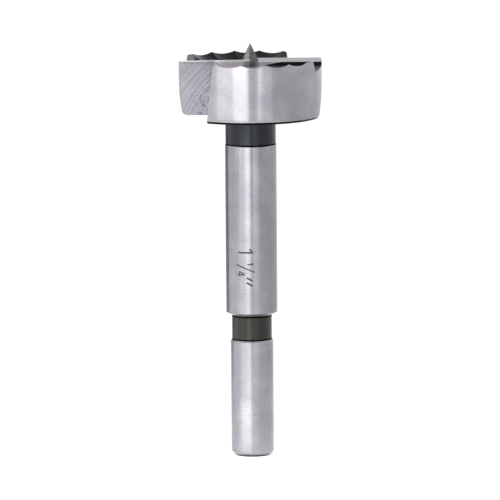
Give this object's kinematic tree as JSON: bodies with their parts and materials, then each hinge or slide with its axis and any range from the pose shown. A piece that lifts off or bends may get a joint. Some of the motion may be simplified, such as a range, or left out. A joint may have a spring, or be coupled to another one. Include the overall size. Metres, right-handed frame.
{
  "type": "forstner bit",
  "caption": "One-piece steel boring bit with scalloped rims, two ground lips, open gullets, a pyramid centre point and a round shank.",
  "frame": {"origin": "centre of the flat end of the shank, on the axis", "axes": "+Z runs along the axis from the shank end to the point; X lies along the two cutting lips; -Y is the side the picture was taken from"},
  "size_m": [0.0318, 0.0318, 0.0923],
  "materials": {
    "ground_steel": "ground bright on the working surfaces, blackened in the neck, groove and hollows"
  },
  "bodies": {
    "root": {"boring_bit": "ground_steel"}
  },
  "joints": []
}
